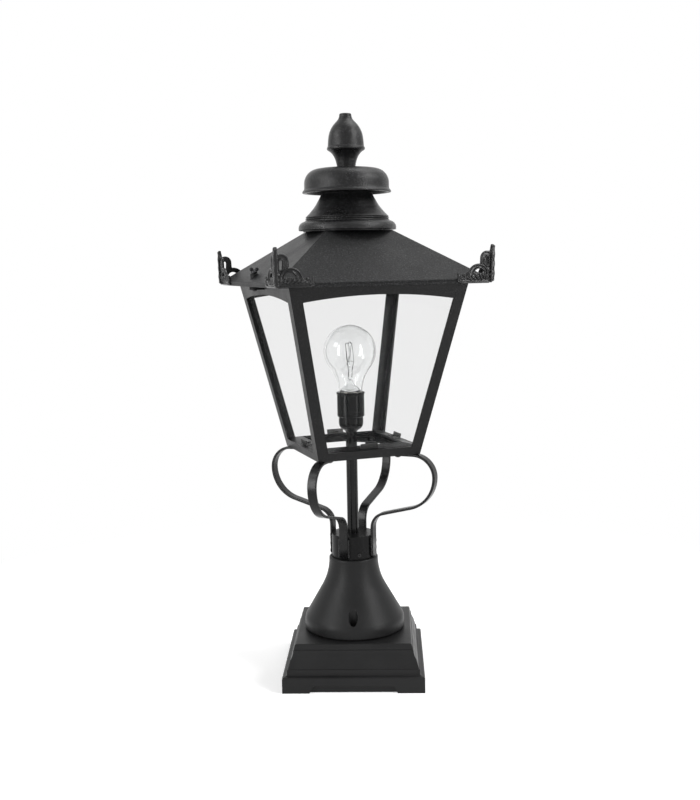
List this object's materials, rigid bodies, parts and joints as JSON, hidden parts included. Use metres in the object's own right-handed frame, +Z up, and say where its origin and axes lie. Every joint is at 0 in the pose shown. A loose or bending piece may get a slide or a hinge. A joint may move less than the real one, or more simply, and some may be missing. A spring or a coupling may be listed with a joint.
{
  "type": "pedestal lantern",
  "caption": "Square tapered glazed lantern with a hinged roof, vented cowl and acorn finial, on scrolled straps, a round bell and a square stepped plinth.",
  "frame": {"origin": "middle of the plinth's underside", "axes": "+Z up, -Y the front side of the plinth; the lantern head is turned 22 degrees counter-clockwise from above"},
  "size_m": [0.3188, 0.3188, 0.6415],
  "materials": {
    "cast_black": "satin black paint on cast iron",
    "black_paint": "satin black paint on steel",
    "cast_black_light": "textured black paint on cast aluminium",
    "zinc_steel": "zinc plated",
    "clear_glass": "clear",
    "black_gloss": "glossy moulding",
    "ceramic": "glazed insulator",
    "nickel_brass": "nickel plated",
    "wire": "drawn wire"
  },
  "bodies": {
    "base": {"plinth": "cast_black", "bell": "cast_black", "bell_screws": "zinc_steel"},
    "head": {"collar": "black_paint", "grub_screws": "zinc_steel", "pole": "black_paint", "pole_nut": "zinc_steel", "arm_front": "black_paint", "arm_right": "black_paint", "arm_back": "black_paint", "arm_left": "black_paint", "arm_bolts": "black_paint", "bottom_frame": "black_paint", "post_front": "black_paint", "post_right": "black_paint", "post_back": "black_paint", "post_left": "black_paint", "top_rail_front": "black_paint", "top_rail_right": "black_paint", "top_rail_back": "black_paint", "top_rail_left": "black_paint", "glass_front": "clear_glass", "glass_right": "clear_glass", "glass_back": "clear_glass", "glass_left": "clear_glass", "glass_clips": "zinc_steel", "clip_screws": "black_paint", "holder_body": "black_gloss", "holder_cap": "black_gloss", "holder_core": "ceramic", "lamp_cap": "nickel_brass", "bulb_glass": "clear_glass", "bulb_stem": "clear_glass", "filament": "wire", "hinge_frame_leaves": "black_paint", "hinge_pins": "zinc_steel", "lock_lug": "black_paint"},
    "roof": {"roof": "black_paint", "leaf_front": "cast_black_light", "leaf_right": "cast_black_light", "leaf_back": "cast_black_light", "leaf_left": "cast_black_light", "hinge_roof_leaves": "black_paint", "chimney": "cast_black_light", "chimney_screws": "zinc_steel", "bridge": "black_paint", "tie_rod": "zinc_steel", "tie_nut": "zinc_steel", "cap_spacer": "black_paint", "rain_cap": "cast_black_light", "finial": "cast_black_light"},
    "thumb": {"thumb_screw": "zinc_steel"}
  },
  "joints": [
    {"name": "head_swivel", "type": "hinge", "parent": "base", "child": "head", "pos_m": [0, 0, 0.15], "axis": [0, 0, 1], "range_deg": [-180, 180]},
    {"name": "roof_hinge", "type": "hinge", "parent": "head", "child": "roof", "pos_m": [0.09759, 0.03943, 0.4492], "axis": [-0.3746, 0.9272, 0], "range_deg": [0, 95]},
    {"name": "thumb_screw_turn", "type": "hinge", "parent": "roof", "child": "thumb", "pos_m": [-0.10199, -0.04121, 0.455], "axis": [0, 0, 1], "continuous": true}
  ]
}
